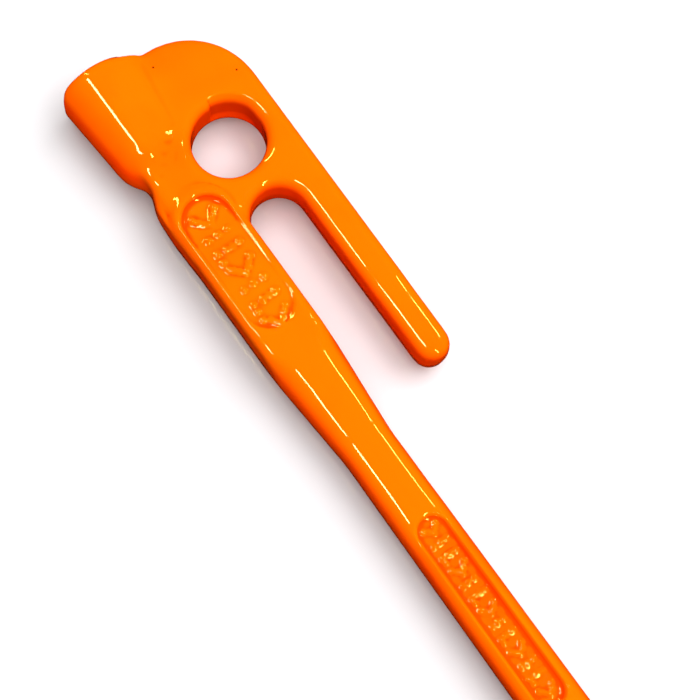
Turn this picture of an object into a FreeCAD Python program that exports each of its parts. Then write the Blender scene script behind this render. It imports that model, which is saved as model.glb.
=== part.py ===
import FreeCAD, Part
import math
import os

import Sketcher

# A drop-forged steel tent stake, in one piece.
# The origin lies on the striking face, on the axis of the shank.
# +X runs from the striking face to the point, +Y points to the side of the hook,
# and +Z comes out of the broad face. The forging's parting plane is z = 0.

DRIVING_SIZES = [
    ("overall_length", 280.0, "striking face to point"),
    ("draft_angle", 4.0, "slope of the forged side walls, degrees"),
    # striking head
    ("face_diameter", 13.4, "head at the striking face"),
    ("knuckle_diameter", 11.0, "head where it starts to round off"),
    ("head_offset", 1.2, "axis of the head, away from the hook side"),
    ("face_round", 1.2, "rounding of the struck edge"),
    ("face_corner", 3.2, "lower corner of the head, rounded in the broad view"),
    ("head_length", 15.8, "striking face to knuckle"),
    ("knuckle_length", 5.4, "knuckle to the end of the head"),
    # plate and hook
    ("plate_thick", 9.0, "plate and hook"),
    ("plate_start", 1.9, "edge of the plate, behind the striking face"),
    ("plate_corner", 12.6, "large outer corner of the plate"),
    ("waist_drop", 4.4, "shank axis to the lower edge of the plate"),
    ("rim_round", 1.7, "rounded rims of plate, hook and slot"),
    ("hole_diameter", 12.0, "pull hole"),
    ("hole_start", 15.7, "striking face to the near edge of the pull hole"),
    ("hole_lift", 4.3, "shank axis to the near edge of the pull hole"),
    ("hole_web", 4.1, "steel between the pull hole and the slot or the outer edge"),
    ("slot_width", 8.6, "gap between neck and hook"),
    ("slot_sink", 0.3, "how far the slot's round end runs into the neck"),
    ("hook_tip", 69.5, "striking face to the tip of the hook"),
    # neck
    ("neck_setback", 2.2, "middle of the pull hole to the rounded start of the neck"),
    ("neck_crown_end", 54.0, "striking face to the end of the neck's sharp shoulders"),
    ("neck_end", 57.8, "striking face to the end of the straight neck"),
    ("neck_width", 11.3, "neck, across"),
    ("neck_thick", 10.0, "neck, through"),
    ("neck_round", 1.5, "shoulders of the neck"),
    ("taper_thick", 9.5, "end of the neck, through"),
    ("taper_round", 3.8, "shoulders at the end of the neck"),
    # shank and point
    ("shank_station", 73.8, "striking face to the start of the shank"),
    ("shank_width", 8.8, "shank at its start, across"),
    ("shank_thick", 8.4, "shank at its start, through"),
    ("shank_round", 2.6, "shoulders of the shank"),
    ("middle_station", 150.0, "striking face to the widest shank"),
    ("middle_width", 9.7, "shank at its widest, across"),
    ("middle_thick", 8.8, "shank at its widest, through"),
    ("point_length", 52.0, "length of the tapered point"),
    ("point_width", 8.8, "shank where the point starts, across"),
    ("point_thick", 8.2, "shank where the point starts, through"),
    ("point_round", 2.6, "shoulders where the point starts"),
    ("tip_diameter", 3.0, "blunt end of the point"),
    # panels sunk into both broad faces
    ("neck_panel_inset", 2.5, "rounded start of the neck to its panel"),
    ("neck_panel_length", 24.8, "neck panel, along the shank"),
    ("neck_panel_rim", 1.35, "neck panel to the neck's side"),
    ("neck_panel_depth", 1.0, "neck panel, below the neck's broad face"),
    ("shank_panel_inset", 13.6, "start of the shank to its panel"),
    ("shank_panel_length", 34.6, "shank panel, along the shank"),
    ("shank_panel_rim", 1.6, "shank panel to the shank's side"),
    ("shank_panel_depth", 1.3, "shank panel, below the broad face of the widest shank"),
    ("panel_slope", 22.0, "slope of the panels' walls, degrees"),
]


class Size:
    """A length that knows both its number and the sheet expression that drives it."""

    def __init__(self, value, text):
        self.value = value
        self.text = text

    def __add__(self, other):
        return Size(self.value + other.value, f"({self.text} + {other.text})")

    def __sub__(self, other):
        return Size(self.value - other.value, f"({self.text} - {other.text})")

    def __neg__(self):
        return Size(-self.value, f"(-{self.text})")

    def times(self, factor):
        return Size(self.value * factor, f"({self.text} * {factor})")

    def half(self):
        return self.times(0.5)

    def at_most(self, other):
        return Size(min(self.value, other.value), f"min({self.text}; {other.text})")


doc = FreeCAD.newDocument("tent_stake")
sheet = doc.addObject("Spreadsheet::Sheet", "Sizes")
size = {}
for row, (alias, number, note) in enumerate(DRIVING_SIZES, start=1):
    sheet.set(f"A{row}", note)
    sheet.set(f"B{row}", str(number))
    sheet.setAlias(f"B{row}", alias)
    size[alias] = Size(number, f"Sizes.{alias}")
doc.recompute()

ZERO = Size(0.0, "0")
# A rim's rounding takes no more than this share of the steel between two rims.
RIM_SHARE = 0.45
rim_round = size["rim_round"].at_most(size["hole_web"].times(RIM_SHARE))
hole_radius = size["hole_diameter"].half()
hole_station = size["hole_start"] + hole_radius
hole_height = size["hole_lift"] + hole_radius
hook_reach = hole_height + hole_radius + size["hole_web"]
slot_station = hole_station + hole_radius + size["hole_web"]
neck_station = hole_station + size["neck_setback"]
START, END, CENTRE = 1, 2, 3      # the points of a sketched edge

forging = doc.addObject("PartDesign::Body", "stake_forging")
forging.Label = "stake_forging"


def origin_plane(role):
    return next(item for item in forging.Origin.OriginFeatures if item.Role == role)


def new_sketch(name, role, along=None):
    """A sketch on one of the body's planes, moved by sheet expressions along its own axes."""
    sketch = forging.newObject("Sketcher::SketchObject", name)
    sketch.AttachmentSupport = [(origin_plane(role), "")]
    sketch.MapMode = "FlatFace"
    for axis, distance in (along or {}).items():
        sketch.setExpression(f".AttachmentOffset.Base.{axis}", distance.text)
    return sketch


def bind(sketch, constraint, driver):
    index = sketch.addConstraint(constraint)
    sketch.setExpression(f"Constraints[{index}]", driver.text)


def lock(sketch, edge, end, x, y):
    bind(sketch, Sketcher.Constraint("DistanceX", edge, end, x.value), x)
    bind(sketch, Sketcher.Constraint("DistanceY", edge, end, y.value), y)


def draw_outline(sketch, corners):
    """Closed outline. A corner is (x, y, hint): hint None starts a straight edge, and
    (centre x, centre y, turn, tie) starts an arc, held by a rule on its centre."""
    count = len(corners)
    for index, (x, y, hint) in enumerate(corners):
        next_x, next_y, _ = corners[(index + 1) % count]
        start = FreeCAD.Vector(x.value, y.value, 0)
        end = FreeCAD.Vector(next_x.value, next_y.value, 0)
        if hint is None:
            sketch.addGeometry(Part.LineSegment(start, end))
        else:
            centre_x, centre_y, turn, _ = hint
            centre = FreeCAD.Vector(centre_x, centre_y, 0)
            sketch.addGeometry(arc_between(start, end, centre, turn))
    for index, corner in enumerate(corners):
        before = (index - 1) % count
        joint = before, last_end(corners[before]), index, first_end(corner)
        smooth = corner[2] is not None and corner[2][3] == "tangent"
        sketch.addConstraint(Sketcher.Constraint("Tangent" if smooth else "Coincident", *joint))
        lock(sketch, index, first_end(corner), corner[0], corner[1])
    for index, corner in enumerate(corners):
        if corner[2] is None or corner[2][3] == "tangent":
            continue
        end = first_end(corner) if corner[2][3] == "start" else last_end(corner)
        sketch.addConstraint(Sketcher.Constraint("Vertical", index, end, index, CENTRE))


def join_edges(sketch, count, smooth):
    """Joins each edge's end to the next one's start, without a corner after those in smooth."""
    for edge in range(count):
        kind = "Tangent" if edge in smooth else "Coincident"
        sketch.addConstraint(Sketcher.Constraint(kind, edge, END, (edge + 1) % count, START))


def first_end(corner):
    """Arcs always run anticlockwise, so a clockwise one is drawn from its far end."""
    return END if corner[2] and corner[2][2] == "clockwise" else START


def last_end(corner):
    return START if corner[2] and corner[2][2] == "clockwise" else END


def arc_between(start, end, centre, turn):
    if turn == "clockwise":
        start, end = end, start
    radius = (start - centre).Length
    first = math.atan2(start.y - centre.y, start.x - centre.x)
    last = math.atan2(end.y - centre.y, end.x - centre.x)
    circle = Part.Circle(centre, FreeCAD.Vector(0, 0, 1), radius)
    return Part.ArcOfCircle(circle, first, last)


def edges_at_height(feature, height):
    """Names of the edges that lie wholly in the planes z = height and z = -height."""
    names = []
    for number, edge in enumerate(feature.Shape.Edges, start=1):
        box = edge.BoundBox
        flat = box.ZLength < 0.001
        if flat and abs(abs(box.ZMin) - height) < 0.001:
            names.append(f"Edge{number}")
    return names


def round_edges(name, base, names, radius):
    fillet = forging.newObject("PartDesign::Fillet", name)
    fillet.Base = (base, names)
    fillet.setExpression("Radius", radius.text)
    base.Visibility = False
    doc.recompute()
    return fillet


# --- plate and hook --------------------------------------------------------------

def build_plate():
    reach = hook_reach
    slot_low = size["neck_width"].half() - size["slot_sink"]
    slot_high = size["neck_width"].half() + size["slot_width"]
    slot_radius = (slot_high - slot_low).half()
    slot_centre = slot_station + slot_radius
    slot_middle = (slot_high + slot_low).half()
    hook_radius = (reach - slot_high).half()
    hook_centre = size["hook_tip"] - hook_radius
    hook_middle = (reach + slot_high).half()
    start = size["plate_start"]
    corner = size["plate_corner"]
    low = -size["waist_drop"]
    corner_hint = ((start + corner).value, (reach - corner).value, "clockwise", "end")
    tip_hint = (hook_centre.value, hook_middle.value, "clockwise", "start")
    slot_hint = (slot_centre.value, slot_middle.value, "anticlockwise", "start")

    sketch = new_sketch("PlateOutline", "XY_Plane")
    draw_outline(sketch, [
        (start, low, None),
        (start, reach - corner, corner_hint),
        (start + corner, reach, None),
        (hook_centre, reach, tip_hint),
        (hook_centre, slot_high, None),
        (slot_centre, slot_high, slot_hint),
        (slot_centre, slot_low, None),
        (slot_centre, low, None),
    ])
    plate = forging.newObject("PartDesign::Pad", "Plate")
    plate.Profile = sketch
    plate.SideType = "Symmetric"
    plate.setExpression("Length", "Sizes.plate_thick")
    plate.setExpression("TaperAngle", "-Sizes.draft_angle")
    doc.recompute()
    rims = [name for name in edges_at_height(plate, size["plate_thick"].value / 2)
            if shows(plate.getSubObject(name), start.value, slot_low.value)]
    return round_edges("PlateRims", plate, rims, rim_round)


def shows(edge, plate_start, slot_low):
    """True for a rim that neither the neck nor the head covers."""
    middle = edge.BoundBox.Center
    return middle.y > slot_low or middle.x < plate_start + 1


def build_hole(plate):
    sketch = new_sketch("HoleCircle", "XY_Plane")
    centre = FreeCAD.Vector(hole_station.value, hole_height.value, 0)
    radius = hole_radius.value
    sketch.addGeometry(Part.Circle(centre, FreeCAD.Vector(0, 0, 1), radius))
    lock(sketch, 0, CENTRE, hole_station, hole_height)
    diameter = Sketcher.Constraint("Diameter", 0, size["hole_diameter"].value)
    bind(sketch, diameter, size["hole_diameter"])
    before = plate.Shape.Volume
    hole = forging.newObject("PartDesign::Pocket", "PullHole")
    hole.Profile = sketch
    hole.SideType = "Symmetric"
    hole.Type = "ThroughAll"
    doc.recompute()
    if hole.Shape.Volume > before - 1:
        raise RuntimeError("the pull hole cut nothing")
    rims = [name for name in edges_at_height(hole, size["plate_thick"].value / 2)
            if isinstance(hole.getSubObject(name).Curve, Part.Circle)
            and abs(hole.getSubObject(name).Curve.Radius - radius) < 0.001]
    return round_edges("HoleRims", hole, rims, rim_round)


# --- striking head -----------------------------------------------------------------

def build_head():
    """A tapered barrel with a rounded end, turned about an axis along X."""
    face = size["face_diameter"].half()
    knuckle = size["knuckle_diameter"].half()
    rounding = size["face_round"]
    length = size["head_length"]
    end = length + size["knuckle_length"]
    sketch = new_sketch("HeadProfile", "XY_Plane", {"y": -size["head_offset"]})
    face_hint = (rounding.value, (face - rounding).value, "clockwise", "end")
    # the knuckle's arc leaves the tapered side without a corner
    slope = math.atan2((face - knuckle).value, (length - rounding).value)
    run, drop = (end - length).value, knuckle.value
    bend = (run ** 2 + drop ** 2) / (2 * (drop * math.cos(slope) - run * math.sin(slope)))
    centre_x = length.value - bend * math.sin(slope)
    centre_y = knuckle.value - bend * math.cos(slope)
    knuckle_hint = (centre_x, centre_y, "clockwise", "tangent")
    draw_outline(sketch, [
        (ZERO, ZERO, None),
        (ZERO, face - rounding, face_hint),
        (rounding, face, None),
        (length, knuckle, knuckle_hint),
        (end, ZERO, None),
    ])
    head = forging.newObject("PartDesign::Revolution", "Head")
    head.Profile = sketch
    head.ReferenceAxis = (sketch, ["H_Axis"])
    head.Angle = 360.0
    doc.recompute()
    return head


def build_face_corner():
    """Cuts the head's lower corner to a round one, straight through."""
    face, corner = size["face_diameter"].half(), size["face_corner"]
    clear = face.times(1.5)
    sketch = new_sketch("FaceCornerOutline", "XY_Plane", {"y": -size["head_offset"]})
    hint = (corner.value, (corner - face).value, "anticlockwise", "end")
    draw_outline(sketch, [
        (ZERO, corner - face, hint),
        (corner, -face, None),
        (corner, -clear, None),
        (-corner, -clear, None),
        (-corner, corner - face, None),
    ])
    before = forging.Shape.Volume
    cut = forging.newObject("PartDesign::Pocket", "FaceCorner")
    cut.Profile = sketch
    cut.SideType = "Symmetric"
    cut.Type = "ThroughAll"
    doc.recompute()
    if cut.Shape.Volume > before - 1:
        raise RuntimeError("the head's corner cut nothing")
    return cut


# --- neck, shank and point ---------------------------------------------------------

def shoulder_points(width, thick, rounding):
    """One quarter of a bar's section: where the drafted side and the flat meet the shoulder."""
    draft = math.radians(size["draft_angle"].value)
    centre_y = thick / 2 - rounding
    centre_x = width / 2 - centre_y * math.tan(draft) - rounding / math.cos(draft)
    side = (centre_x + rounding * math.cos(draft), centre_y + rounding * math.sin(draft))
    return (centre_x, centre_y), side, (centre_x, thick / 2)


def draw_section(sketch, width, thick, rounding):
    """A bar's whole section, widest at the parting plane, with four rounded shoulders."""
    centre, side, top = shoulder_points(width.value, thick.value, rounding.value)
    half = width.value / 2
    z_axis = FreeCAD.Vector(0, 0, 1)
    draft = math.radians(size["draft_angle"].value)

    def vector(point, mirror_x, mirror_y):
        return FreeCAD.Vector(point[0] * mirror_x, point[1] * mirror_y, 0)

    def line(start, end):
        sketch.addGeometry(Part.LineSegment(start, end))

    def arc(mirror_x, mirror_y, first, last):
        circle = Part.Circle(vector(centre, mirror_x, mirror_y), z_axis, rounding.value)
        sketch.addGeometry(Part.ArcOfCircle(circle, first, last))

    right, left = FreeCAD.Vector(half, 0, 0), FreeCAD.Vector(-half, 0, 0)
    line(right, vector(side, 1, 1))
    arc(1, 1, draft, math.pi / 2)
    line(vector(top, 1, 1), vector(top, -1, 1))
    arc(-1, 1, math.pi / 2, math.pi - draft)
    line(vector(side, -1, 1), left)
    line(left, vector(side, -1, -1))
    arc(-1, -1, math.pi + draft, 1.5 * math.pi)
    line(vector(top, -1, -1), vector(top, 1, -1))
    arc(1, -1, 1.5 * math.pi, 2 * math.pi - draft)
    line(vector(side, 1, -1), right)
    tie_section(sketch, width, thick, rounding)


def tie_section(sketch, width, thick, rounding):
    """Constraints of draw_section: edge 0 rises from the parting line on the right."""
    h_axis, v_axis = -1, -2
    join_edges(sketch, 10, smooth=(0, 1))
    pairs = [
        (0, START, 4, END, v_axis),       # the two points of the parting line
        (0, END, 3, END, v_axis),         # side points, upper left
        (0, END, 8, END, h_axis),         # lower right
        (3, END, 5, END, h_axis),         # lower left
        (1, END, 2, END, v_axis),         # ends of the upper flat
        (1, END, 7, END, h_axis),         # ends of the lower flat
        (2, END, 6, END, h_axis),
    ]
    for first, first_point, second, second_point, axis in pairs:
        sketch.addConstraint(Sketcher.Constraint(
            "Symmetric", first, first_point, second, second_point, axis))
    sketch.addConstraint(Sketcher.Constraint("PointOnObject", 0, START, h_axis))
    half_width, half_thick = width.half(), thick.half()
    bind(sketch, Sketcher.Constraint("DistanceX", 0, START, half_width.value), half_width)
    bind(sketch, Sketcher.Constraint("DistanceY", 1, END, half_thick.value), half_thick)
    lean = Size(90.0 + size["draft_angle"].value, "(90 + Sizes.draft_angle)")
    bind(sketch, Sketcher.Constraint("Angle", 0, math.radians(lean.value)), lean)
    bind(sketch, Sketcher.Constraint("Radius", 1, rounding.value), rounding)
    for other in (3, 6, 8):
        sketch.addConstraint(Sketcher.Constraint("Equal", 1, other))


def build_neck_end():
    """The rounded start of the neck: half a turn of half the neck's section, about Z."""
    width, thick, rounding = size["neck_width"], size["neck_thick"], size["neck_round"]
    centre, side, top = shoulder_points(width.value, thick.value, rounding.value)
    draft = math.radians(size["draft_angle"].value)
    half, rise = width.value / 2, thick.value / 2
    z_axis = FreeCAD.Vector(0, 0, 1)
    sketch = new_sketch("NeckEndProfile", "XZ_Plane",
                        {"x": neck_station + width.half()})

    def arc(mirror_y, first, last):
        middle = FreeCAD.Vector(-centre[0], centre[1] * mirror_y, 0)
        sketch.addGeometry(Part.ArcOfCircle(Part.Circle(middle, z_axis, rounding.value), first, last))

    outer = FreeCAD.Vector(-half, 0, 0)
    sketch.addGeometry(Part.LineSegment(FreeCAD.Vector(0, -rise, 0), FreeCAD.Vector(0, rise, 0)))
    sketch.addGeometry(Part.LineSegment(FreeCAD.Vector(0, rise, 0),
                                        FreeCAD.Vector(-top[0], rise, 0)))
    arc(1, math.pi / 2, math.pi - draft)
    sketch.addGeometry(Part.LineSegment(FreeCAD.Vector(-side[0], side[1], 0), outer))
    sketch.addGeometry(Part.LineSegment(outer, FreeCAD.Vector(-side[0], -side[1], 0)))
    arc(-1, math.pi + draft, 1.5 * math.pi)
    sketch.addGeometry(Part.LineSegment(FreeCAD.Vector(-top[0], -rise, 0),
                                        FreeCAD.Vector(0, -rise, 0)))
    h_axis, v_axis = -1, -2
    join_edges(sketch, 7, smooth=(1, 2))
    sketch.addConstraint(Sketcher.Constraint("PointOnObject", 0, START, v_axis))
    sketch.addConstraint(Sketcher.Constraint("PointOnObject", 3, END, h_axis))
    for first, first_point, second, second_point in (
            (0, END, 0, START), (2, START, 5, END), (3, START, 4, END)):
        sketch.addConstraint(Sketcher.Constraint(
            "Symmetric", first, first_point, second, second_point, h_axis))
    sketch.addConstraint(Sketcher.Constraint("Horizontal", 1))
    left, upper = -width.half(), thick.half()
    bind(sketch, Sketcher.Constraint("DistanceX", 3, END, left.value), left)
    bind(sketch, Sketcher.Constraint("DistanceY", 0, END, upper.value), upper)
    lean = Size(-90.0 - size["draft_angle"].value, "(-90 - Sizes.draft_angle)")
    bind(sketch, Sketcher.Constraint("Angle", 3, math.radians(lean.value)), lean)
    bind(sketch, Sketcher.Constraint("Radius", 2, rounding.value), rounding)
    sketch.addConstraint(Sketcher.Constraint("Equal", 2, 5))
    end = forging.newObject("PartDesign::Revolution", "NeckEnd")
    end.Profile = sketch
    end.ReferenceAxis = (sketch, ["V_Axis"])
    end.Midplane = True
    end.Angle = 180.0
    doc.recompute()
    return end


TIP_ROUND_SHARE = 0.4     # shoulder radius at the blunt end, as a share of its diameter


def build_bar():
    """Neck, shank and point: one bar through seven sections square to the shank's axis."""
    tip = size["tip_diameter"]
    neck_start = neck_station + size["neck_width"].half()
    point_start = size["overall_length"] - size["point_length"]
    tip_rounding = tip.times(TIP_ROUND_SHARE)
    stations = [
        ("NeckStart", neck_start, size["neck_width"], size["neck_thick"], size["neck_round"]),
        ("NeckCrownEnd", size["neck_crown_end"], size["neck_width"], size["neck_thick"],
         size["neck_round"]),
        ("NeckFinish", size["neck_end"], size["neck_width"], size["taper_thick"],
         size["taper_round"]),
        ("ShankStart", size["shank_station"], size["shank_width"], size["shank_thick"],
         size["shank_round"]),
        ("ShankMiddle", size["middle_station"], size["middle_width"], size["middle_thick"],
         size["shank_round"]),
        ("PointStart", point_start, size["point_width"], size["point_thick"],
         size["point_round"]),
        ("PointTip", size["overall_length"] - tip.half(), tip, tip, tip_rounding),
    ]
    sections = []
    for name, station, width, thick, rounding in stations:
        sketch = new_sketch(name, "YZ_Plane", {"z": station})
        draw_section(sketch, width, thick, rounding)
        sections.append(sketch)
    doc.recompute()
    bar = forging.newObject("PartDesign::AdditiveLoft", "Bar")
    bar.Profile = sections[0]
    bar.Sections = sections[1:]
    bar.Ruled = True
    doc.recompute()
    return bar


def build_tip():
    ball = forging.newObject("PartDesign::AdditiveSphere", "TipBall")
    ball.AttachmentSupport = [(origin_plane("XY_Plane"), "")]
    ball.MapMode = "FlatFace"
    ball.setExpression("Radius", "Sizes.tip_diameter / 2")
    ball.setExpression(".AttachmentOffset.Base.x",
                       "Sizes.overall_length - Sizes.tip_diameter / 2")
    doc.recompute()
    return ball


# --- sunk panels -------------------------------------------------------------------

def build_panel(name, start, length, width, depth, surface):
    """A round-ended panel with sloping walls, cut down from the broad face."""
    radius = width.half()
    first, last = start + radius, start + length - radius
    sketch = new_sketch(name + "Outline", "XY_Plane", {"z": surface})
    draw_outline(sketch, [
        (first, -radius, None),
        (last, -radius, (last.value, 0.0, "anticlockwise", "start")),
        (last, radius, None),
        (first, radius, (first.value, 0.0, "anticlockwise", "start")),
    ])
    before = forging.Shape.Volume
    panel = forging.newObject("PartDesign::Pocket", name)
    panel.Profile = sketch
    panel.setExpression("Length", depth.text)
    panel.setExpression("TaperAngle", "-Sizes.panel_slope")
    doc.recompute()
    if panel.Shape.Volume > before - 1:
        raise RuntimeError(f"{name} cut nothing")
    return panel


build_hole(build_plate())
build_head()
build_face_corner()
build_neck_end()
build_bar()
build_tip()
neck_panel_width = size["neck_width"] - size["neck_panel_rim"].times(2)
shank_panel_width = size["shank_width"] - size["shank_panel_rim"].times(2)
panels = [
    build_panel("NeckPanel", neck_station + size["neck_panel_inset"],
                size["neck_panel_length"], neck_panel_width,
                size["neck_panel_depth"], size["neck_thick"].half()),
    build_panel("ShankPanel", size["shank_station"] + size["shank_panel_inset"],
                size["shank_panel_length"], shank_panel_width,
                size["shank_panel_depth"], size["middle_thick"].half()),
]
mirrored = forging.newObject("PartDesign::Mirrored", "PanelsBelow")
mirrored.Originals = panels
mirrored.MirrorPlane = (origin_plane("XY_Plane"), [""])
forging.Tip = mirrored
doc.recompute()

for item in doc.Objects:
    if "Invalid" in item.State or "Error" in item.State:
        raise RuntimeError(f"{item.Name} did not build: {item.State}")

os.makedirs("parts", exist_ok=True)
for part in [forging]:
    shape = part.Shape
    if shape.isNull() or not shape.isValid() or len(shape.Solids) != 1:
        raise RuntimeError(f"{part.Label} is not one sound solid")
    shape.exportStep(f"parts/{part.Label}.step")
    box = shape.BoundBox
    print(part.Label, "volume", round(shape.Volume), "mm3,",
          "x", round(box.XMin, 2), round(box.XMax, 2),
          "y", round(box.YMin, 2), round(box.YMax, 2),
          "z", round(box.ZMin, 2), round(box.ZMax, 2))
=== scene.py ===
import random
from math import atan2, degrees, pi, sin, sqrt

import bmesh
import bpy
from mathutils import Matrix, Vector, noise


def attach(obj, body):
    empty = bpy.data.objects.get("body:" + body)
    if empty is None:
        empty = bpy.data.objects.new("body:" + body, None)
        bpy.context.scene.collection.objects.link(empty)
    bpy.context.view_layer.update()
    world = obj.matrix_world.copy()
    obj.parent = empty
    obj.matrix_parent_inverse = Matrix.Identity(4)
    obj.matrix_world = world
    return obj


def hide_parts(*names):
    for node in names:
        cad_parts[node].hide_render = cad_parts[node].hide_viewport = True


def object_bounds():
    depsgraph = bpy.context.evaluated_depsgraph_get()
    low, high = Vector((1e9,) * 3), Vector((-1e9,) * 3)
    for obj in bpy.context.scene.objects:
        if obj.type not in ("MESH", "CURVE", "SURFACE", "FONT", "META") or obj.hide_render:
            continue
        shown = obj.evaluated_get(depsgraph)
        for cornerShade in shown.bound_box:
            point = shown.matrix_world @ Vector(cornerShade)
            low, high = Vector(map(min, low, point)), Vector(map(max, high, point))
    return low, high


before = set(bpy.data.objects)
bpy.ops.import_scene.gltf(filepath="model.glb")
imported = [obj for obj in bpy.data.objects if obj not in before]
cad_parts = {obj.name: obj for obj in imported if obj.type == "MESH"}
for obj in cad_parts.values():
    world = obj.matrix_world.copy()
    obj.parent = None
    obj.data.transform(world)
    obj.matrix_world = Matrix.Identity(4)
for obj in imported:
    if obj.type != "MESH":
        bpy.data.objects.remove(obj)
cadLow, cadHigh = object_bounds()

# A forged steel tent stake under a thick, glossy orange enamel.
# +X runs from the striking face to the point, +Y points to the hook, +Z is the broad face.

mm = 0.001
collection = bpy.context.scene.collection


def smoothStep(value, low, high):
    share = min(max((value - low) / (high - low), 0.0), 1.0)
    return share * share * (3 - 2 * share)


def flatDistance(point, spot):
    # how far a point is from a spot, seen from above
    return sqrt((point.x - spot[0]) ** 2 + (point.y - spot[1]) ** 2)


def linear(red, green, blue):
    # display values from 0 to 255, as the colour a shader reads
    return tuple((channel / 255) ** 2.2 for channel in (red, green, blue)) + (1.0,)


# The forging's shape

forging = dict(
    voxel=0.305 * mm,           # size of the quads that the skin is rebuilt from
    skinPasses=16,              # light smoothing all over, as enamel fills small corners
    panelShare=0.18,            # how much of it the panels get, to stay crisp
    blendPasses=55,             # strong smoothing where head, plate and neck run together
    waviness=0.012 * mm,        # how far the forged skin wanders
    wavinessSize=7 * mm,
    wavinessStart=(9 * mm, 18 * mm),
    knuckle=(18.3 * mm, 0.4 * mm),
    knuckleReach=(2.5 * mm, 6 * mm),
    knuckleWaves=0.08 * mm,     # the lumpy spot where the head runs into the neck
    knuckleSize=1.3 * mm,
)

# the hole: its wall is torn a little wider over these angles, above this depth
bore = dict(
    centre=(21.7 * mm, 10.3 * mm),
    radius=6.0 * mm,
    tear=0.45 * mm,
    tearFrom=(95, 125),
    tearTo=(172, 177),
    tearRim=(0.6 * mm, 1.8 * mm),
    tearDepth=(1 * mm, 3 * mm),
)

# where the skin is smoothed strongly
blends = dict(
    waist=(20 * mm, -2.5 * mm),
    waistReach=(3.5 * mm, 7 * mm),
    valley=6 * mm,              # between the head's barrel and the plate
    valleyReach=(1 * mm, 3 * mm),
    valleyEnd=(14 * mm, 18 * mm),
    valleyShare=0.1,
    clearOfHole=(7.6 * mm, 9.5 * mm),
    drawnFrom=(54 * mm, 58 * mm),
    drawnTo=(83.5 * mm, 86.5 * mm),
    drawnShare=0.5,
)

# the head's exposed side: its axis, the stretch that is measured, and the stretch that is trued
barrel = dict(
    axis=-1.2 * mm,
    measured=(3.5 * mm, 13 * mm),
    truedFrom=(1.9 * mm, 2.8 * mm),
    truedTo=(13 * mm, 15 * mm),
    truedSide=(-0.7 * mm, 0.3 * mm),
    core=4 * mm,
)

# the plain bar, drawn on from the rim of a cut: lengths from the striking face, and the number
# of sections in shank, point and tip
bar = dict(
    cut=127 * mm,
    pointStart=230 * mm,
    tipStart=278.5 * mm,
    tipLength=1.5 * mm,
    shankSteps=30,
    pointSteps=24,
    tipSteps=7,
    eased=0.35,                 # share of each stretch that eases in and out
)

# sections of the plain bar: distance from the striking face, width and thickness, in mm
barSections = ((73.8, 8.8, 8.4), (150, 9.7, 8.8), (228, 8.8, 8.2), (278.5, 3.0, 3.0))

# the head's round side leaves for the plate over these corners: x, y and z, near and far end
headBlend = (
    ((0.7, 0.3, 6.5), (1.0, 4.0, 5.6), (1.9, 6.6, 4.4)),
    ((16.3, -0.2, 5.4), (16.3, 2.6, 4.95), (16.3, 4.6, 4.4)),
)

# outline of the flank that runs from the waist into the neck, in mm
waistFlank = ((22.0, -4.7), (24.6, -5.7), (29.5, -5.95), (35.0, -5.75), (35.0, -1.0), (22.0, -1.0))

# panels: near end, far end and half width
panels = ((26 * mm, 52.5 * mm, 4.6 * mm), (86.5 * mm, 123.5 * mm, 3.1 * mm))

# raised marks in the panels: places in mm, and the beads that each stroke is made of
neckMarks = dict(first=30.6, pitch=3.2, count=7, reach=2.0, bead=0.46, gap=1.0, rise=0.5)
shankMarks = dict(first=89.8, pitch=2.45, count=13, reach=1.2, bead=0.36, gap=0.85, rise=0.6)

markStray = 0.12    # how far a bead lies off its place, in mm

# generic marks in a cell, from -1 to 1 along and across: a chevron, pips, a stroke with a pip
markCells = (
    ((-0.5, 1.0, 0.5, 0.0), (0.5, 0.0, -0.5, -1.0)),
    ((-0.1, 0.9, 0.1, 0.9), (-0.1, 0.0, 0.1, 0.0), (-0.1, -0.9, 0.1, -0.9)),
    ((-0.3, 1.0, -0.3, -0.2), (-0.3, -1.0, 0.4, -1.0)),
)

# panel floors that rise or fall along the stake: x and height
neckFloor = dict(profile=((26.0, 4.0), (29.0, 4.0), (34.0, 4.75), (45.0, 4.85), (52.5, 4.6)),
                 halfWidth=4.7)
shankFloor = dict(profile=((86.5, 3.5), (95.0, 3.3), (104.0, 3.1), (124.0, 3.1)), halfWidth=2.75)


def addHull(bm, points):
    # a closed solid round a few points
    corners = [bm.verts.new(point) for point in points]
    hull = bmesh.ops.convex_hull(bm, input=corners)
    loose = [item for item in hull["geom_interior"] if isinstance(item, bmesh.types.BMVert)]
    bmesh.ops.delete(bm, geom=loose, context="VERTS")


def floorAt(floor, x):
    for (x0, z0), (x1, z1) in zip(floor["profile"], floor["profile"][1:]):
        if x <= x1:
            return z0 + (z1 - z0) * (x - x0) / (x1 - x0)
    return floor["profile"][-1][1]


def addMarks(bm, marks, floor, side):
    # generic chevrons, strokes and pips in beaded strokes, in place of any lettering
    scatter = random.Random(7)
    reach = marks["reach"]
    for number in range(marks["count"]):
        x = marks["first"] + number * marks["pitch"]
        middle = Vector((x, 0, side * floorAt(floor, x)))
        for x0, y0, x1, y1 in markCells[number % len(markCells)]:
            start, end = Vector((x0, y0, 0)) * reach, Vector((x1, y1, 0)) * reach
            beads = 1 + round((end - start).length / marks["gap"])
            for bead in range(beads):
                strayX = scatter.uniform(-markStray, markStray)
                strayY = scatter.uniform(-markStray, markStray)
                spot = middle + start.lerp(end, bead / max(beads - 1, 1))
                spot += Vector((strayX, strayY, 0))
                wide = marks["bead"] * scatter.uniform(0.8, 1.15)
                size = Matrix.Diagonal((wide, wide, marks["rise"] * scatter.uniform(0.7, 1), 1))
                place = Matrix.Translation(spot * mm) @ size
                bmesh.ops.create_icosphere(bm, subdivisions=2, radius=mm, matrix=place)


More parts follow.
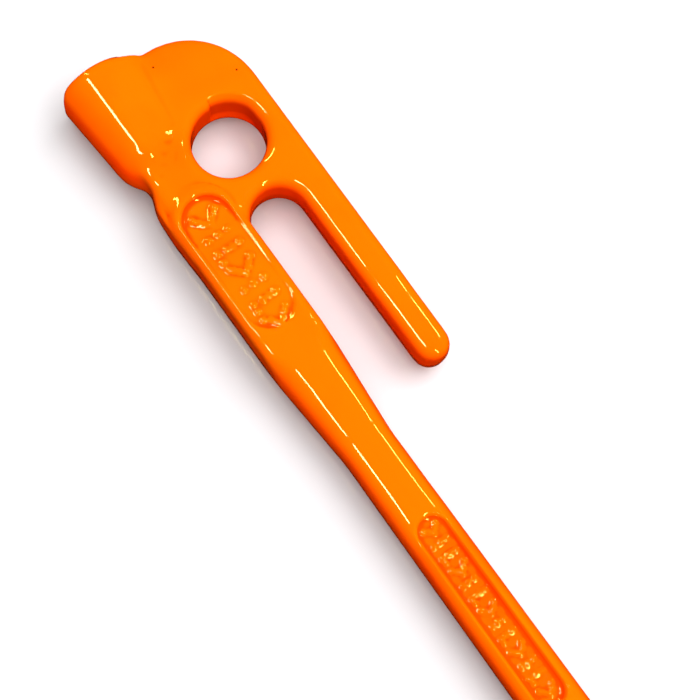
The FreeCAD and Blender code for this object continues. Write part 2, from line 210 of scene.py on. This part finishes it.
def addFloor(bm, floor, side):
    # a slab from inside the bar up to the panel's floor
    inside = 1.0
    for (x0, z0), (x1, z1) in zip(floor["profile"], floor["profile"][1:]):
        points = [(x, y, side * z) for x, top in ((x0, z0), (x1, z1))
                  for y in (-floor["halfWidth"], floor["halfWidth"]) for z in (top, inside)]
        addHull(bm, [Vector(point) * mm for point in points])


def addWaistFlank(bm):
    # widest at the parting plane, as the rest of the forging
    points = [(x, y, 0) for x, y in waistFlank]
    draft, level = 0.3, 3.7
    points += [(x, y + (draft if y < -2 else 0), z) for x, y in waistFlank for z in (-level, level)]
    addHull(bm, [Vector(point) * mm for point in points])


def addHeadBlend(bm, side):
    # the head's round side runs out over the plate in a long shallow slope
    points = [(x, y, side * z) for end in headBlend for x, y, top in end for z in (top, 0)]
    addHull(bm, [Vector(point) * mm for point in points])


def rebuildSkin(bm, voxel):
    # joins all solids in one even skin
    mesh = bpy.data.meshes.new("forgedBlank")
    bm.to_mesh(mesh)
    blank = bpy.data.objects.new("forgedBlank", mesh)
    collection.objects.link(blank)
    remesh = blank.modifiers.new("skin", "REMESH")
    remesh.mode = "VOXEL"
    remesh.voxel_size = voxel
    depsgraph = bpy.context.evaluated_depsgraph_get()
    skin = bpy.data.meshes.new_from_object(blank.evaluated_get(depsgraph))
    bpy.data.objects.remove(blank)
    bpy.data.meshes.remove(mesh)
    return skin


def blendWeight(point):
    # 1 where head, plate and neck flow together, 0 elsewhere
    flow = 1 - smoothStep(flatDistance(point, blends["waist"]), *blends["waistReach"])
    valley = 1 - smoothStep(abs(point.y - blends["valley"]), *blends["valleyReach"])
    valley *= blends["valleyShare"] * (1 - smoothStep(point.x, *blends["valleyEnd"]))
    clear = smoothStep(flatDistance(point, bore["centre"]), *blends["clearOfHole"])
    drawn = smoothStep(point.x, *blends["drawnFrom"]) * (1 - smoothStep(point.x, *blends["drawnTo"]))
    return max(max(flow, valley) * clear, drawn * blends["drawnShare"])


def inPanel(point):
    # the panels keep more of their crispness than the rest
    return any(low < point.x < high and abs(point.y) < half for low, high, half in panels)


def smoothed(skin):
    holder = bpy.data.objects.new("forgedSkin", skin)
    collection.objects.link(holder)
    group = holder.vertex_groups.new(name="blend")
    coated = holder.vertex_groups.new(name="coated")
    for vert in skin.vertices:
        weight = blendWeight(vert.co)
        if weight > 0.01:
            group.add([vert.index], weight, "REPLACE")
        coated.add([vert.index], forging["panelShare"] if inPanel(vert.co) else 1.0, "REPLACE")
    soft = holder.modifiers.new("enamel", "SMOOTH")
    soft.factor, soft.iterations = 0.5, forging["skinPasses"]
    soft.vertex_group = "coated"
    flow = holder.modifiers.new("forged blends", "SMOOTH")
    flow.factor, flow.iterations = 0.5, forging["blendPasses"]
    flow.vertex_group = "blend"
    depsgraph = bpy.context.evaluated_depsgraph_get()
    mesh = bpy.data.meshes.new_from_object(holder.evaluated_get(depsgraph))
    bpy.data.objects.remove(holder)
    bpy.data.meshes.remove(skin)
    return mesh


def barSize(x):
    # width and thickness of the plain bar, in metres
    eased = bar["eased"]
    stations = [(a * mm, b * mm, c * mm) for a, b, c in barSections]
    for (x0, wide0, thick0), (x1, wide1, thick1) in zip(stations, stations[1:]):
        if x <= x1:
            share = smoothStep(x, x0, x1) * eased + (x - x0) / (x1 - x0) * (1 - eased)
            return wide0 + (wide1 - wide0) * share, thick0 + (thick1 - thick0) * share
    tip = stations[-1]
    fall = sqrt(max(1 - ((x - tip[0]) / (cadHigh.x - tip[0])) ** 2, 0.0004))
    return tip[1] * fall, tip[2] * fall


def drawOnBar(bm):
    # cuts off the plain bar and draws its rim on to the point, section by section
    cut, pointStart, tipStart = bar["cut"], bar["pointStart"], bar["tipStart"]
    bmesh.ops.bisect_plane(bm, geom=bm.verts[:] + bm.edges[:] + bm.faces[:], dist=0.01 * mm,
                           plane_co=(cut, 0, 0), plane_no=(1, 0, 0), clear_outer=True)
    rim = [edge for edge in bm.edges if edge.is_boundary]
    stations = []
    for start, end, steps in ((cut, pointStart, bar["shankSteps"]),
                              (pointStart, tipStart, bar["pointSteps"])):
        stations += [start + (end - start) * step / steps for step in range(1, steps + 1)]
    for step in range(1, bar["tipSteps"] + 1):
        stations.append(tipStart + bar["tipLength"] * sin(step / bar["tipSteps"] * pi / 2))
    x, (wide, thick) = cut, barSize(cut)
    for following in stations:
        grown = bmesh.ops.extrude_edge_only(bm, edges=rim)["geom"]
        rim = [item for item in grown if isinstance(item, bmesh.types.BMEdge)]
        verts = [item for item in grown if isinstance(item, bmesh.types.BMVert)]
        nextWide, nextThick = barSize(following)
        bmesh.ops.scale(bm, vec=(1, nextWide / wide, nextThick / thick), verts=verts)
        bmesh.ops.translate(bm, vec=(following - x, 0, 0), verts=verts)
        x, wide, thick = following, nextWide, nextThick
    bmesh.ops.pointmerge(bm, verts=verts, merge_co=(cadHigh.x, 0, 0))


def tornBore(point):
    # the punched hole is a little wider above a seam on the head's side
    x, y = point.x - bore["centre"][0], point.y - bore["centre"][1]
    radius, angle = sqrt(x * x + y * y), degrees(atan2(y, x)) % 360
    share = smoothStep(angle, *bore["tearFrom"]) * (1 - smoothStep(angle, *bore["tearTo"]))
    share *= 1 - smoothStep(radius - bore["radius"], *bore["tearRim"])
    share *= 1 - smoothStep(-point.z, *bore["tearDepth"])
    return Vector((x, y, 0)) / radius * bore["tear"] * share


def trueBarrel(bm):
    # the head's exposed side is brought on to the cone that fits it best
    axis, (low, high) = barrel["axis"], barrel["measured"]
    clear = [vert.co for vert in bm.verts if low < vert.co.x < high and vert.co.y < axis]
    spots = [(spot.x, sqrt((spot.y - axis) ** 2 + spot.z ** 2)) for spot in clear]
    meanX = sum(x for x, radius in spots) / len(spots)
    mean = sum(radius for x, radius in spots) / len(spots)
    slope = sum((x - meanX) * (radius - mean) for x, radius in spots)
    slope /= sum((x - meanX) ** 2 for x, radius in spots)
    print("head cone:", round(mean / mm, 3), round(slope, 4))
    for vert in bm.verts:
        x, y, z = vert.co
        share = smoothStep(x, *barrel["truedFrom"]) * (1 - smoothStep(x, *barrel["truedTo"]))
        share *= 1 - smoothStep(y, *barrel["truedSide"])
        radius = sqrt((y - axis) ** 2 + z * z)
        if share > 0 and radius > barrel["core"]:
            scale = 1 + share * ((mean + (x - meanX) * slope) / radius - 1)
            vert.co = (x, axis + (y - axis) * scale, z * scale)


def forgedFinish(bm):
    # a slight waviness past the head, small lumps at the knuckle, and the torn hole
    bm.normal_update()
    for vert in bm.verts:
        point = vert.co.copy()
        wander = noise.noise(point / forging["wavinessSize"]) * forging["waviness"]
        wander *= smoothStep(point.x, *forging["wavinessStart"])
        lumps = noise.noise(point / forging["knuckleSize"]) * forging["knuckleWaves"]
        lumps *= 1 - smoothStep(flatDistance(point, forging["knuckle"]), *forging["knuckleReach"])
        moved = point + vert.normal * (wander + lumps) + tornBore(point)
        for axis in range(3):
            moved[axis] = min(max(moved[axis], cadLow[axis]), cadHigh[axis])
        vert.co = moved


def makeForging():
    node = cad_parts["stake_forging"]
    bm = bmesh.new()
    bm.from_mesh(node.data)
    bmesh.ops.remove_doubles(bm, verts=bm.verts, dist=0.001 * mm)
    for side in (1, -1):
        addFloor(bm, neckFloor, side)
        addFloor(bm, shankFloor, side)
        addMarks(bm, neckMarks, neckFloor, side)
        addMarks(bm, shankMarks, shankFloor, side)
        addHeadBlend(bm, side)
    addWaistFlank(bm)
    skin = rebuildSkin(bm, forging["voxel"])
    bm.free()
    print("skin rebuilt:", len(skin.polygons), "quads")
    mesh = smoothed(skin)
    bm = bmesh.new()
    bm.from_mesh(mesh)
    drawOnBar(bm)
    trueBarrel(bm)
    forgedFinish(bm)
    bmesh.ops.recalc_face_normals(bm, faces=bm.faces)
    mesh.clear_geometry()
    bm.to_mesh(mesh)
    bm.free()
    mesh.name = "enamelledForging"
    mesh.polygons.foreach_set("use_smooth", [True] * len(mesh.polygons))
    piece = bpy.data.objects.new("enamelledForging", mesh)
    collection.objects.link(piece)
    print("forging shaped:", len(mesh.polygons), "faces")
    return piece


# The enamel

enamel = dict(
    colour=linear(252, 96, 0),
    deepToneAndShade=linear(245, 52, 0),      # the coat's deeper tone for its random drifts, and also the painted shade colour
    peelSize=1 / (1.1 * mm),            # ripples per metre in the sprayed coat
    peelHeight=0.002 * mm,
    roughness=0.015,
    roughnessDrift=0.02,
    coatRoughness=0.01,
    driftSize=90.0,                     # broad drifts per metre in the coat's thickness
    driftRange=(0.45, 0.75),
    driftShare=0.22,
    flankShadeLevel=(4.0 * mm, 2.4 * mm),     # painted shade on flanks, holes and recesses below this height
    flankShadeShare=0.65,
    # painted shade in inner corners and creases, by pointiness
    cornerShadePointiness=(0.497, 0.478),
    cornerShadeShare=0.8,
)

# tiny craters left in the coat: places in mm, and their radius inside and out
pinholes = ((13.1, 17.9, 4.5), (5.3, 7.3, 4.5))
pinholeRadius = (0.12 * mm, 0.24 * mm)


def addSocket(group, name, kind, way="INPUT", value=None):
    socket = group.interface.new_socket(name, in_out=way, socket_type=kind)
    if value is not None:
        socket.default_value = value
    return socket


def mapRange(nodes, source, low, high, top):
    # a node that maps low to 0 and high to top
    node = nodes.new("ShaderNodeMapRange")
    node.inputs["From Min"].default_value, node.inputs["From Max"].default_value = low, high
    node.inputs["To Max"].default_value = top
    node.id_data.links.new(source, node.inputs["Value"])
    return node


def mathNode(nodes, operation, *sources):
    node = nodes.new("ShaderNodeMath")
    node.operation = operation
    for socket, source in zip(node.inputs, sources):
        node.id_data.links.new(source, socket)
    return node


def mixColour(nodes, factor, first, second=None):
    node = nodes.new("ShaderNodeMix")
    node.data_type = "RGBA"
    node.id_data.links.new(factor, node.inputs["Factor"])
    node.id_data.links.new(first, node.inputs["A"])
    if second is not None:
        node.id_data.links.new(second, node.inputs["B"])
    return node


def sprayedCoatAndShade():
    # node group: a sprayed coat's ripple as a normal, and its colour with random drifts and painted
    # shade
    group = bpy.data.node_groups.new("sprayedCoatAndShade", "ShaderNodeTree")
    addSocket(group, "Colour", "NodeSocketColor")
    addSocket(group, "Deep Tone And Shade", "NodeSocketColor")
    addSocket(group, "Ripples", "NodeSocketFloat", value=900.0)
    addSocket(group, "Ripple Height", "NodeSocketFloat", value=0.000002)
    addSocket(group, "Base Roughness", "NodeSocketFloat", value=0.1)
    addSocket(group, "Colour", "NodeSocketColor", "OUTPUT")
    addSocket(group, "Roughness", "NodeSocketFloat", "OUTPUT")
    addSocket(group, "Normal", "NodeSocketVector", "OUTPUT")
    nodes, links = group.nodes, group.links
    enter, leave = nodes.new("NodeGroupInput"), nodes.new("NodeGroupOutput")
    place = nodes.new("ShaderNodeTexCoord")
    ripple = nodes.new("ShaderNodeTexNoise")
    ripple.inputs["Detail"].default_value = 1.5
    links.new(place.outputs["Object"], ripple.inputs["Vector"])
    links.new(enter.outputs["Ripples"], ripple.inputs["Scale"])
    bump = nodes.new("ShaderNodeBump")
    bump.inputs["Strength"].default_value = 1.0
    links.new(ripple.outputs["Fac"], bump.inputs["Height"])
    links.new(enter.outputs["Ripple Height"], bump.inputs["Distance"])
    links.new(bump.outputs["Normal"], leave.inputs["Normal"])
    # broad drifts in thickness move the colour a little towards the deep one
    drift = nodes.new("ShaderNodeTexNoise")
    drift.inputs["Scale"].default_value = enamel["driftSize"]
    drift.inputs["Detail"].default_value = 2.0
    links.new(place.outputs["Object"], drift.inputs["Vector"])
    thick = mapRange(nodes, drift.outputs["Fac"], *enamel["driftRange"], enamel["driftShare"])
    # painted shade: flanks, holes and recesses below this height are darkened towards the deep
    # colour
    height = nodes.new("ShaderNodeSeparateXYZ")
    links.new(place.outputs["Object"], height.inputs["Vector"])
    level = mathNode(nodes, "ABSOLUTE", height.outputs["Z"])
    flankShade = mapRange(nodes, level.outputs["Value"], *enamel["flankShadeLevel"], enamel["flankShadeShare"])
    flankShade.interpolation_type = "SMOOTHSTEP"
    # painted shade in inner corners, where pointiness is low
    shape = nodes.new("ShaderNodeNewGeometry")
    cornerShade = mapRange(nodes, shape.outputs["Pointiness"], *enamel["cornerShadePointiness"],
                      enamel["cornerShadeShare"])
    paintedShade = mathNode(nodes, "MAXIMUM", flankShade.outputs["Result"], cornerShade.outputs["Result"])
    # the deep colour's share: random drifts plus the painted shade
    total = mathNode(nodes, "ADD", thick.outputs["Result"], paintedShade.outputs["Value"])
    mix = mixColour(nodes, total.outputs["Value"], enter.outputs["Colour"],
                    enter.outputs["Deep Tone And Shade"])
    links.new(mix.outputs["Result"], leave.inputs["Colour"])
    rough = mathNode(nodes, "MULTIPLY_ADD", ripple.outputs["Fac"])
    rough.inputs[1].default_value = enamel["roughnessDrift"]
    links.new(enter.outputs["Base Roughness"], rough.inputs[2])
    links.new(rough.outputs["Value"], leave.inputs["Roughness"])
    return group


def enamelMaterial():
    material = bpy.data.materials.new("orangeEnamel")
    material.use_nodes = True
    nodes, links = material.node_tree.nodes, material.node_tree.links
    shader = nodes["Principled BSDF"]
    coat = nodes.new("ShaderNodeGroup")
    coat.node_tree = sprayedCoatAndShade()
    coat.inputs["Colour"].default_value = enamel["colour"]
    coat.inputs["Deep Tone And Shade"].default_value = enamel["deepToneAndShade"]
    coat.inputs["Ripples"].default_value = enamel["peelSize"]
    coat.inputs["Ripple Height"].default_value = enamel["peelHeight"]
    coat.inputs["Base Roughness"].default_value = enamel["roughness"]
    place = nodes.new("ShaderNodeTexCoord")
    colour = coat.outputs["Colour"]
    for x, y, z in pinholes:
        reach = nodes.new("ShaderNodeVectorMath")
        reach.operation = "DISTANCE"
        reach.inputs[1].default_value = (x * mm, y * mm, z * mm)
        links.new(place.outputs["Object"], reach.inputs[0])
        dark = mapRange(nodes, reach.outputs["Value"], *pinholeRadius, 0.0)
        dark.inputs["To Min"].default_value = 0.95
        mix = mixColour(nodes, dark.outputs["Result"], colour)
        mix.inputs["B"].default_value = linear(60, 18, 3)
        colour = mix.outputs["Result"]
    links.new(colour, shader.inputs["Base Color"])
    links.new(coat.outputs["Roughness"], shader.inputs["Roughness"])
    links.new(coat.outputs["Normal"], shader.inputs["Normal"])
    links.new(coat.outputs["Normal"], shader.inputs["Coat Normal"])
    shader.inputs["IOR"].default_value = 1.5
    shader.inputs["Coat Weight"].default_value = 0.3
    shader.inputs["Coat Roughness"].default_value = enamel["coatRoughness"]
    return material


piece = makeForging()
piece.data.materials.clear()
piece.data.materials.append(enamelMaterial())
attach(piece, "root")
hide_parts("stake_forging")
print("enamel laid on")

# Table, light and camera

stage = dict(
    restAt=2 * mm,              # the stake rests on the bottom of its head
    farRest=228 * mm,           # and where the point begins
    size=6.0,
    glow=0.9,
    glowFrom=(0.3, 1.2),
    colour=(0.55, 0.545, 0.555, 1.0),
    roughness=0.22,
)


def makeTable():
    # a plane through both lines of rest
    nearZ, farZ = cadLow.z, -barSize(stage["farRest"])[1] / 2
    slope = (farZ - nearZ) / (stage["farRest"] - stage["restAt"])
    bm = bmesh.new()
    bmesh.ops.create_grid(bm, x_segments=1, y_segments=1, size=stage["size"] / 2)
    for vert in bm.verts:
        vert.co.z = nearZ + (vert.co.x - stage["restAt"]) * slope - 0.02 * mm
    mesh = bpy.data.meshes.new("table")
    bm.to_mesh(mesh)
    bm.free()
    table = bpy.data.objects.new("table", mesh)
    collection.objects.link(table)
    material = bpy.data.materials.new("whiteTable")
    material.use_nodes = True
    shader = material.node_tree.nodes["Principled BSDF"]
    shader.inputs["Base Color"].default_value = stage["colour"]
    shader.inputs["Roughness"].default_value = stage["roughness"]
    shader.inputs["Specular IOR Level"].default_value = 0.35
    # past the reach of the lamps the table keeps pale by a glow of its own
    nodes, links = material.node_tree.nodes, material.node_tree.links
    place, reach = nodes.new("ShaderNodeTexCoord"), nodes.new("ShaderNodeVectorMath")
    reach.operation = "LENGTH"
    links.new(place.outputs["Object"], reach.inputs[0])
    glow = mapRange(nodes, reach.outputs["Value"], *stage["glowFrom"], stage["glow"])
    links.new(glow.outputs["Result"], shader.inputs["Emission Strength"])
    shader.inputs["Emission Color"].default_value = (1, 1, 1, 1)
    mesh.materials.append(material)
    table.visible_glossy = False        # the table doesn't wash out the flanks


def aim(item, spot, target, up=None):
    # points an object's -Z axis from its spot to the target
    ahead = (Vector(target) - Vector(spot)).normalized()
    if up is None:
        turn = ahead.to_track_quat("-Z", "Y").to_matrix()
    else:
        right = ahead.cross(Vector(up)).normalized()
        turn = Matrix((right, right.cross(ahead), -ahead)).transposed()
    item.matrix_world = Matrix.Translation(spot) @ turn.to_4x4()


def addLight(name, spot, target, size, power, colour, along=None, glossy=True):
    data = bpy.data.lights.new(name, "AREA")
    data.shape = "RECTANGLE"
    data.size, data.size_y = size
    data.energy = power
    data.color = colour
    light = bpy.data.objects.new(name, data)
    collection.objects.link(light)
    aim(light, spot, target, along)
    # the strips only draw highlights, and the soft lights only shade
    light.visible_glossy, light.visible_diffuse = glossy, not glossy


pale, warm, white = (1, 0.85, 0.38), (1, 0.76, 0.14), (1, 1, 1)
middle = (0.06, 0.005, 0)

# strips that draw the thin lines along the rounded shoulders: spot, size, power and colour
lineStrips = dict(
    headStrip=((-0.158, -0.22, 0.85), (0.08, 0.115), 1.035, pale),
    shankStrip=((-0.008, -0.22, 0.85), (0.08, 0.14), 1.26, pale),
    warmStrip=((-0.01, 0.62, 0.86), (0.065, 0.15), 1.4, warm),
)

# strips across the shank's ends give the small arcs and sparkles
endStrips = dict(
    farStrip=((0.75, 0.05, 0.75), (0.05, 0.8), 6, warm),
    nearStrip=((-0.8, -0.1, 0.6), (0.05, 0.8), 5.5, warm),
)

# a broad soft light overhead, and one on the hook's side
softLights = dict(
    softTop=((0.15, 0.1, 1.1), (1.4, 1.4), 24.5, white),
    softSide=((0.15, 0.6, 0.75), (0.9, 0.9), 9.5, white),
)

# the room is white to the eye, and gives a little light
room = dict(strength=0.2, seen=5.5)


def makeLights():
    for name, (spot, size, power, colour) in lineStrips.items():
        addLight(name, spot, (spot[0], 0, 0), size, power, colour, (1, 0, 0))
    for name, (spot, size, power, colour) in endStrips.items():
        addLight(name, spot, middle, size, power, colour)
    for name, (spot, size, power, colour) in softLights.items():
        addLight(name, spot, middle, size, power, colour, glossy=False)
    world = bpy.data.worlds.new("studio")
    bpy.context.scene.world = world
    world.use_nodes = True
    nodes, links = world.node_tree.nodes, world.node_tree.links
    background = nodes["Background"]
    background.inputs["Strength"].default_value = room["strength"]
    rays = nodes.new("ShaderNodeLightPath")
    mix = nodes.new("ShaderNodeMix")
    mix.data_type = "RGBA"
    mix.inputs["A"].default_value = (1, 1, 1, 1)
    mix.inputs["B"].default_value = (room["seen"], room["seen"], room["seen"], 1)
    links.new(rays.outputs["Is Camera Ray"], mix.inputs["Factor"])
    links.new(mix.outputs["Result"], background.inputs["Color"])
    world.cycles_visibility.glossy = False


camera = dict(
    spot=(97.52 * mm, -37.74 * mm, 275.1 * mm),
    target=(59.58 * mm, 6.76 * mm, 0),
    up=(-0.7998, 0.5653, 0.2017),
    lens=92.57,
)


def makeCamera():
    data = bpy.data.cameras.new("camera")
    data.lens = camera["lens"]
    data.sensor_width = 36
    data.clip_start, data.clip_end = 0.01, 20
    item = bpy.data.objects.new("camera", data)
    collection.objects.link(item)
    aim(item, camera["spot"], camera["target"], camera["up"])
    bpy.context.scene.camera = item


makeTable()
makeLights()
makeCamera()
bpy.context.scene.view_settings.view_transform = "Standard"
print("stage set")
